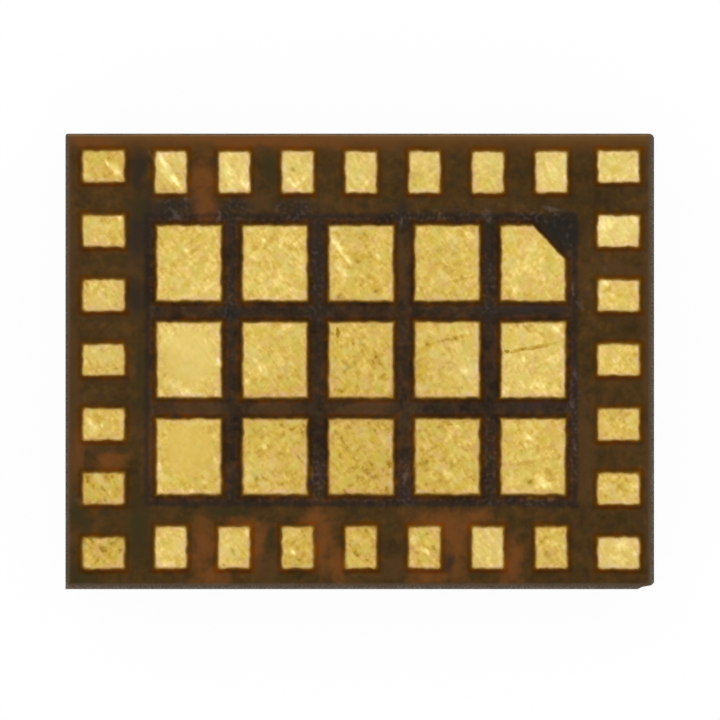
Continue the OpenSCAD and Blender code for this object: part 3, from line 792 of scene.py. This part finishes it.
def lacquer_finish(colours, sizes):
    """Thin brown lacquer: darker over the ground copper, stained, dusty, and grey where sawn."""
    f = Finish("lacquer")
    wavy = f.shifted(6.0, 21.0, 0.16)
    cloud = f.noise(3.0, 22.0)
    mottle = f.noise(10.0, 23.0)
    grain = f.noise(26.0, 24.0, 1.0)
    shade = cloud * 0.60 + mottle * 0.70 + grain * 0.40
    margin = f.ramp(
        shade + 0.50,
        (0.12, tone(46, 34, 15)), (0.40, tone(64, 46, 20)),
        (0.58, colours.lacquer), (0.88, tone(100, 67, 31)),
    )
    inner = f.ramp(
        shade + 0.50,
        (0.15, tone(24, 18, 14)), (0.38, tone(38, 30, 22)),
        (0.56, colours.lacquer_on_copper), (0.85, tone(82, 61, 41)),
    )
    left, bottom, right, top = sides_of("ground_plane")
    beyond_x = abs(f.x - (left + right) / 2) - (right - left) / 2
    beyond_y = abs(f.y - (bottom + top) / 2) - (top - bottom) / 2
    beyond = beyond_x.larger(beyond_y) + mottle * 0.05
    on_copper = beyond.step(0.03, -0.03)
    base = f.mix(on_copper, margin, inner)
    for seed, scale, share, tint in (
        (25.0, 11.0, 0.32, (56, 52, 24)),
        (26.0, 13.0, 0.32, (62, 45, 37)),
        (27.0, 9.0, 0.28, (90, 57, 25)),
        (27.5, 10.0, 0.25, (44, 34, 20)),
    ):
        base = f.mix(f.noise(scale, seed).step(-0.02, 0.18) * share, base, tone(*tint))

    left, bottom, right, top = sides_of("land_side_mask")
    from_top = top - f.y
    strip = from_top + mottle * 0.12 + cloud * 0.10
    base = f.mix(strip.step(0.20, 0.04) * (0.60 + cloud * 1.2), base, tone(100, 65, 30))
    base = f.mix(from_top.step(0.07, 0.01) * 0.7, base, tone(108, 77, 40))
    for stains, share, tint in (
        (RUST_STAINS, 0.84, (111, 67, 29)),
        (BROWN_STAINS, 0.80, (80, 56, 31)),
        (SMOKE_STAINS, 0.80, (46, 39, 32)),
        (PLUM_STAINS, 0.60, (54, 42, 42)),
        (OLIVE_STAINS, 0.75, (54, 47, 25)),
        (INK_STAINS, 0.90, (36, 35, 30)),
    ):
        spread = f.patches(stains, 1.4, wavy) + mottle * 0.35 + grain * 0.2
        base = f.mix(spread.step(0.02, 0.88) * (share + shade * 0.9), base, tone(*tint))

    # A dark line and dust run along the edge of the ground copper
    dark_line = beyond.step(-0.040, -0.005) * beyond.step(0.035, 0.000)
    base = f.mix(dark_line * 0.50, base, tone(38, 31, 28))
    near_line = (beyond + 0.045).step(-0.05, 0.0) * beyond.step(0.0, -0.05)
    specks = f.noise(30.0, 28.0, 0.0).step(-0.06, 0.28) * (1 + mottle * 3)
    dusty = f.patches(DUSTY_PATCHES, at=wavy).step(0.0, 0.6)
    speckled = (near_line * 0.18 + beyond.step(0.0, -0.10) * 0.04).larger(dusty * 0.30)
    base = f.mix(specks * speckled, base, tone(92, 79, 72))
    dust = f.streaks(DUST_MARKS, 2.0, f.shifted(12.0, 29.0, 0.10))
    base = f.mix(dust.step(0.0, 1.0) * (0.30 + grain * 0.8), base, tone(112, 97, 88))

    # The lip of a window turns redder and then golden brown towards the land. Off the copper, lips
    # that face up the picture get painted shade and those that face down get painted light
    lip = (TOP_OF_LACQUER - FACE_OF_LANDS + sizes.rim_fall) / MM
    depth = (TOP_OF_LACQUER / MM - f.z) / lip
    on_lip = depth.step(0.0, 0.01) * (0.15 + on_copper * 0.85)
    base = f.mix(on_lip, base, (1.18, 1.0, 0.96), "MULTIPLY")
    halo = depth.step(0.01, 0.05) * (0.82 + mottle * 3.0 + grain * 2.0)
    base = f.mix(halo, base, (1.07, 0.74, 0.08), "MULTIPLY")
    base = f.mix(depth.step(0.12, 0.98), base, tone(130, 94, 20))
    # Painted shade on lips that face up the picture, and painted light on lips that face down
    lip_shade_and_light = f.facing(1) * (1 - on_copper)
    base = f.mix(lip_shade_and_light.step(0.0, 0.12), base, (0.95, 0.76, 0.60), "MULTIPLY")
    base = f.mix(lip_shade_and_light.step(0.0, -0.12), base, (1.14, 1.12, 0.90), "MULTIPLY")

    to_edge = (f.x - left).smaller(right - f.x).smaller((f.y - bottom).smaller(from_top + 0.02))
    sawn = (to_edge + grain * 0.02).step(0.030, 0.0)
    base = f.mix(sawn * 0.8, base, tone(88, 75, 60))
    sawn_top = (from_top + grain * 0.01).step(0.018, 0.0)
    base = f.mix(sawn_top * 0.6, base, tone(140, 113, 80))
    return f.surface({
        "Base Color": base,
        "Roughness": 0.42 + grain * 0.2,
        "Specular IOR Level": 0.03,
        "Normal": f.bump(mottle * 0.8 + grain * 0.2, 0.005),
    })


def moulding_finish(colours):
    """Black filled epoxy: matt and finely pitted, with saw marks on the sides."""
    f = Finish("moulding compound")
    grain = f.noise(55.0, 31.0, 3.0)
    fill = f.noise(130.0, 32.0, 1.0)
    cloud = f.noise(2.5, 33.0)
    on_side = (0.5 - abs(f.facing(2))).step(0.0, 0.2)
    saw = f.noise(1.0, 34.0, 2.0, f.stretched((1.2, 1.2, 0.012)))
    base = f.mix(fill.step(0.12, 0.24) * 0.5, colours.moulding, tone(104, 103, 102))
    base = f.mix(cloud * 0.8 + 0.2, base, tone(44, 43, 45))
    base = f.mix(saw.step(0.00, 0.22) * on_side * 0.35, base, tone(88, 87, 86))
    return f.surface({
        "Base Color": base,
        "Roughness": 0.66 + grain * 0.3,
        "Specular IOR Level": 0.4,
        "Normal": f.bump(grain * 0.6 + fill * 0.4 + saw * on_side * 0.9, 0.006),
    })


def laminate_finish(colours):
    """Sawn laminate: resin between cut layers of glass cloth, and dull where bare on top."""
    f = Finish("laminate")
    cloth_pitch = 0.062
    layer = abs(f.z.math("FRACT", f.z / cloth_pitch) - 0.5).step(0.46, 0.26)
    yarn = f.noise(1.0, 41.0, 2.0, f.stretched((0.17, 0.17, 0.05)))
    fibre = f.noise(90.0, 42.0)
    base = f.mix(layer * yarn.step(-0.10, 0.10) * 0.8, colours.laminate, tone(158, 150, 126))
    base = f.mix(fibre.step(-0.05, 0.20) * 0.5, base, tone(88, 78, 56))
    bare = f.mix(fibre.step(-0.10, 0.15), tone(88, 75, 61), tone(116, 105, 92))
    base = f.mix(f.facing(2).step(0.4, 0.8), base, bare)
    return f.surface({
        "Base Color": base,
        "Roughness": 0.7,
        "Specular IOR Level": 0.25,
        "Normal": f.bump(fibre + yarn, 0.004),
    })


def metal_finish(name, colour, dull, roughness, scale):
    """A bare metal with clouds of a duller tone and a fine grain."""
    f = Finish(name)
    cloud = f.noise(scale, 51.0, 3.0)
    grain = f.noise(scale * 12, 52.0, 1.0)
    return f.surface({
        "Base Color": f.mix(cloud.step(-0.15, 0.20) * 0.7 + grain * 0.2 + 0.1, colour, dull),
        "Metallic": 1.0,
        "Roughness": roughness + cloud * 0.2,
        "Normal": f.bump(grain, 0.002),
    })


def mineral_finish(name, colour, speck, roughness, scale):
    """A fired or crystalline material with faint specks and clouds."""
    f = Finish(name)
    cloud = f.noise(scale, 61.0, 3.0)
    grain = f.noise(scale * 10, 62.0)
    return f.surface({
        "Base Color": f.mix(grain.step(0.05, 0.22) * 0.6 + cloud * 0.2 + 0.1, colour, speck),
        "Roughness": roughness + cloud * 0.1,
        "Normal": f.bump(grain, 0.002),
    })


def dress(material, *nodes):
    """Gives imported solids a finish."""
    for node in nodes:
        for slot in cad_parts[node].material_slots:
            slot.material = material


def finish_piece(piece, material, node):
    """Gives a modelled piece its finish and its body, and hides the solid that it stands for."""
    piece.data.materials.clear()
    piece.data.materials.append(material)
    select_only(piece)
    bpy.ops.object.shade_smooth_by_angle(angle=math.radians(25))
    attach(piece, "root")
    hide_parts(node)


# Operators


def plate_lands(scene, *groups):
    """Models the first land of each group, copies it to the others and finishes them all."""
    sizes = scene.chip_sizes
    gold = bpy.data.materials.get("land gold") or gold_finish(scene.chip_colours, sizes)
    for nodes in groups:
        first = model_land("plated_" + nodes[0], nodes[0], sizes)
        for node, piece in zip(nodes, copy_to_lands(first, "plated_", nodes)):
            wander_outline(piece, sizes.wander)
            finish_piece(piece, gold, node)


class CHIP_OT_signal_lands(bpy.types.Operator):
    """Models the ring of small lands"""

    bl_idname = "chip.signal_lands"
    bl_label = "Signal lands"

    def execute(self, context):
        plate_lands(context.scene, WIDE_LANDS, TALL_LANDS)
        return {"FINISHED"}


class CHIP_OT_ground_lands(bpy.types.Operator):
    """Models the large lands over the ground copper, one of them with a cut corner"""

    bl_idname = "chip.ground_lands"
    bl_label = "Ground lands"

    def execute(self, context):
        plate_lands(context.scene, WHOLE_LANDS, [INDEX_LAND])
        return {"FINISHED"}


class CHIP_OT_lacquer(bpy.types.Operator):
    """Models the sheet of lacquer and cuts its windows"""

    bl_idname = "chip.lacquer"
    bl_label = "Lacquer"

    def execute(self, context):
        sizes = context.scene.chip_sizes
        low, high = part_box("land_side_mask")
        sheet = model_outline("lacquer", low, high, low[2], sizes.ground_corner, sizes)[0]
        pick_all_faces()
        thickness = (0, 0, high[2] - low[2])
        bpy.ops.mesh.extrude_region_move(TRANSFORM_OT_translate={"value": thickness})
        turn_faces_outwards()
        wander_outline(sheet, sizes.wander)

        windows = []
        for nodes in (WIDE_LANDS, TALL_LANDS, WHOLE_LANDS, [INDEX_LAND]):
            windows += copy_to_lands(model_window_cutter(nodes[0], sizes), "window_", nodes)
        for window in windows:
            wander_outline(window, sizes.wander)
        low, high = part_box("ground_plane")
        bpy.ops.object.select_all(action="DESELECT")
        bpy.ops.mesh.primitive_cube_add(size=high[0] - low[0], location=middle(low, high))
        pocket = bpy.context.object
        pocket.dimensions = [b - a for a, b in zip(low, high)]
        place_in_mesh(pocket)
        select_only(windows[0])
        for window in windows:
            window.select_set(True)
        bpy.ops.object.join()
        cut_away(sheet, windows[0])
        cut_away(sheet, pocket)
        finish = lacquer_finish(context.scene.chip_colours, sizes)
        finish_piece(sheet, finish, "land_side_mask")
        return {"FINISHED"}


class CHIP_OT_body_finish(bpy.types.Operator):
    """Finishes the moulding, the laminate, the copper and the inner lacquer"""

    bl_idname = "chip.body_finish"
    bl_label = "Body finishes"

    def execute(self, context):
        colours = context.scene.chip_colours
        dress(moulding_finish(colours), "mould_cap")
        dress(laminate_finish(colours), "laminate_core")
        copper = metal_finish("bare copper", colours.copper, tone(160, 96, 74), 0.45, 6.0)
        dress(copper, "ground_plane", "component_side_copper", "vias")
        lacquer = mineral_finish("inner lacquer", tone(62, 72, 40), tone(40, 48, 26), 0.4, 6.0)
        dress(lacquer, "component_side_mask")
        return {"FINISHED"}


class CHIP_OT_inside_finish(bpy.types.Operator):
    """Finishes the dies, wires and small parts inside the moulding"""

    bl_idname = "chip.inside_finish"
    bl_label = "Inside finishes"

    def execute(self, context):
        for finish, name, main, second, roughness, scale, *nodes in (
            (mineral_finish, "amplifier die", (128, 128, 133), (150, 136, 96), 0.25, 20.0,
             "amplifier_die_high", "amplifier_die_low"),
            (mineral_finish, "silicon die", (143, 150, 159), (110, 118, 136), 0.2, 20.0,
             "controller_die", "switch_die"),
            (metal_finish, "silver adhesive", (205, 205, 204), (150, 149, 146), 0.55, 10.0,
             "die_attach"),
            (metal_finish, "gold wire", (238, 215, 158), (214, 180, 96), 0.25, 8.0, "bond_wires"),
            (mineral_finish, "capacitor ceramic", (202, 184, 162), (176, 152, 126), 0.5, 8.0,
             "capacitors"),
            (mineral_finish, "inductor ceramic", (231, 231, 229), (205, 206, 208), 0.45, 8.0,
             "inductors"),
            (metal_finish, "solder", (217, 217, 219), (176, 176, 180), 0.3, 10.0, "solder_joints"),
        ):
            dress(finish(name, tone(*main), tone(*second), roughness, scale), *nodes)
        return {"FINISHED"}


class CHIP_OT_stage(bpy.types.Operator):
    """Lays the pale floor, the soft light and the camera"""

    bl_idname = "chip.stage"
    bl_label = "Stage"

    # The photograph looks straight down, a little off the middle, at a field this wide
    field_width = 5.619 * MM
    field_centre = (0.0016 * MM, 0.011 * MM)
    lens = 150.0
    sensor = 36.0
    # A large floor just under the part, and how white it and the sky are
    floor_size = 160 * MM
    floor_gap = 0.001 * MM
    floor_tone = 0.97
    floor_white = 0.95
    sky_strength = 0.70
    # Each lamp's turn and tilt in degrees and its strength, and how soft they all are
    lamps = ((125, 50, 0.50), (35, 55, 0.38), (-55, 55, 0.38), (-145, 55, 0.38))
    softness = 50

    def show_white(self, shading, plain, white, share, kind):
        """Ends a shading that is plain for the part, and white for the camera and in gloss."""
        camera, glossy, through = (
            shading.node("LightPath", output=f"Is {ray} Ray")
            for ray in ("Camera", "Glossy", "Transmission")
        )
        seen = (camera + glossy + through).smaller(1) * share
        both = shading.node("MixShader", inputs=[seen, plain, white])
        shading.node("Output" + kind, inputs=[both])

    def execute(self, context):
        scene = context.scene
        scene.view_settings.view_transform = "Standard"

        bpy.ops.object.select_all(action="DESELECT")
        bpy.ops.mesh.primitive_plane_add(size=self.floor_size, location=(0, 0, -self.floor_gap))
        floor = bpy.context.object
        floor.name = "floor"
        place_in_mesh(floor)
        paper = Shading(bpy.data.materials.new("white floor"))
        plain = paper.node("BsdfDiffuse", inputs={"Color": (self.floor_tone,) * 3})
        self.show_white(paper, plain, paper.node("Emission"), self.floor_white, "Material")
        floor.data.materials.append(paper.owner)

        scene.world = bpy.data.worlds.new("studio")
        sky = Shading(scene.world)
        plain, white = (
            sky.node("Background", inputs={"Color": (1, 1, 1), "Strength": strength})
            for strength in (self.sky_strength, 1.0)
        )
        self.show_white(sky, plain, white, 1.0, "World")

        for turn, tilt, strength in self.lamps:
            rotation = (math.radians(tilt), 0, math.radians(turn + 90))
            bpy.ops.object.light_add(type="SUN", location=(0, 0, 50 * MM), rotation=rotation)
            lamp = bpy.context.object
            lamp.name = "soft lamp"
            lamp.data.energy = strength
            lamp.data.angle = math.radians(self.softness)

        height = TOP_OF_LACQUER + self.lens * self.field_width / self.sensor
        bpy.ops.object.camera_add(location=(*self.field_centre, height), rotation=(0, 0, 0))
        camera = bpy.context.object
        camera.data.lens = self.lens
        camera.data.sensor_width = self.sensor
        camera.data.clip_start = 1 * MM
        camera.data.clip_end = 1.0
        scene.camera = camera
        return {"FINISHED"}


STEPS = (
    CHIP_OT_signal_lands,
    CHIP_OT_ground_lands,
    CHIP_OT_lacquer,
    CHIP_OT_body_finish,
    CHIP_OT_inside_finish,
    CHIP_OT_stage,
)


class CHIP_PT_pieces(bpy.types.Panel):
    """Lists the steps, the sizes and the colours"""

    bl_idname = "CHIP_PT_pieces"
    bl_label = "Power amplifier chip"
    bl_space_type = "VIEW_3D"
    bl_region_type = "UI"
    bl_category = "Chip"

    def draw(self, context):
        column = self.layout.column(align=True)
        for step in STEPS:
            column.operator(step.bl_idname)
        for group in (context.scene.chip_sizes, context.scene.chip_colours):
            column = self.layout.column()
            for name in group.bl_rna.properties.keys():
                if name not in ("rna_type", "name"):
                    column.prop(group, name)


CLASSES = (ChipSizes, ChipColours, *STEPS, CHIP_PT_pieces)


def register():
    for each in CLASSES:
        bpy.utils.register_class(each)
    bpy.types.Scene.chip_sizes = PointerProperty(type=ChipSizes)
    bpy.types.Scene.chip_colours = PointerProperty(type=ChipColours)


def unregister():
    del bpy.types.Scene.chip_colours
    del bpy.types.Scene.chip_sizes
    for each in reversed(CLASSES):
        bpy.utils.unregister_class(each)


def main():
    register()
    for step in STEPS:
        getattr(bpy.ops.chip, step.bl_idname.split(".")[1])()
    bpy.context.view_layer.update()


if __name__ == "__main__":
    main()
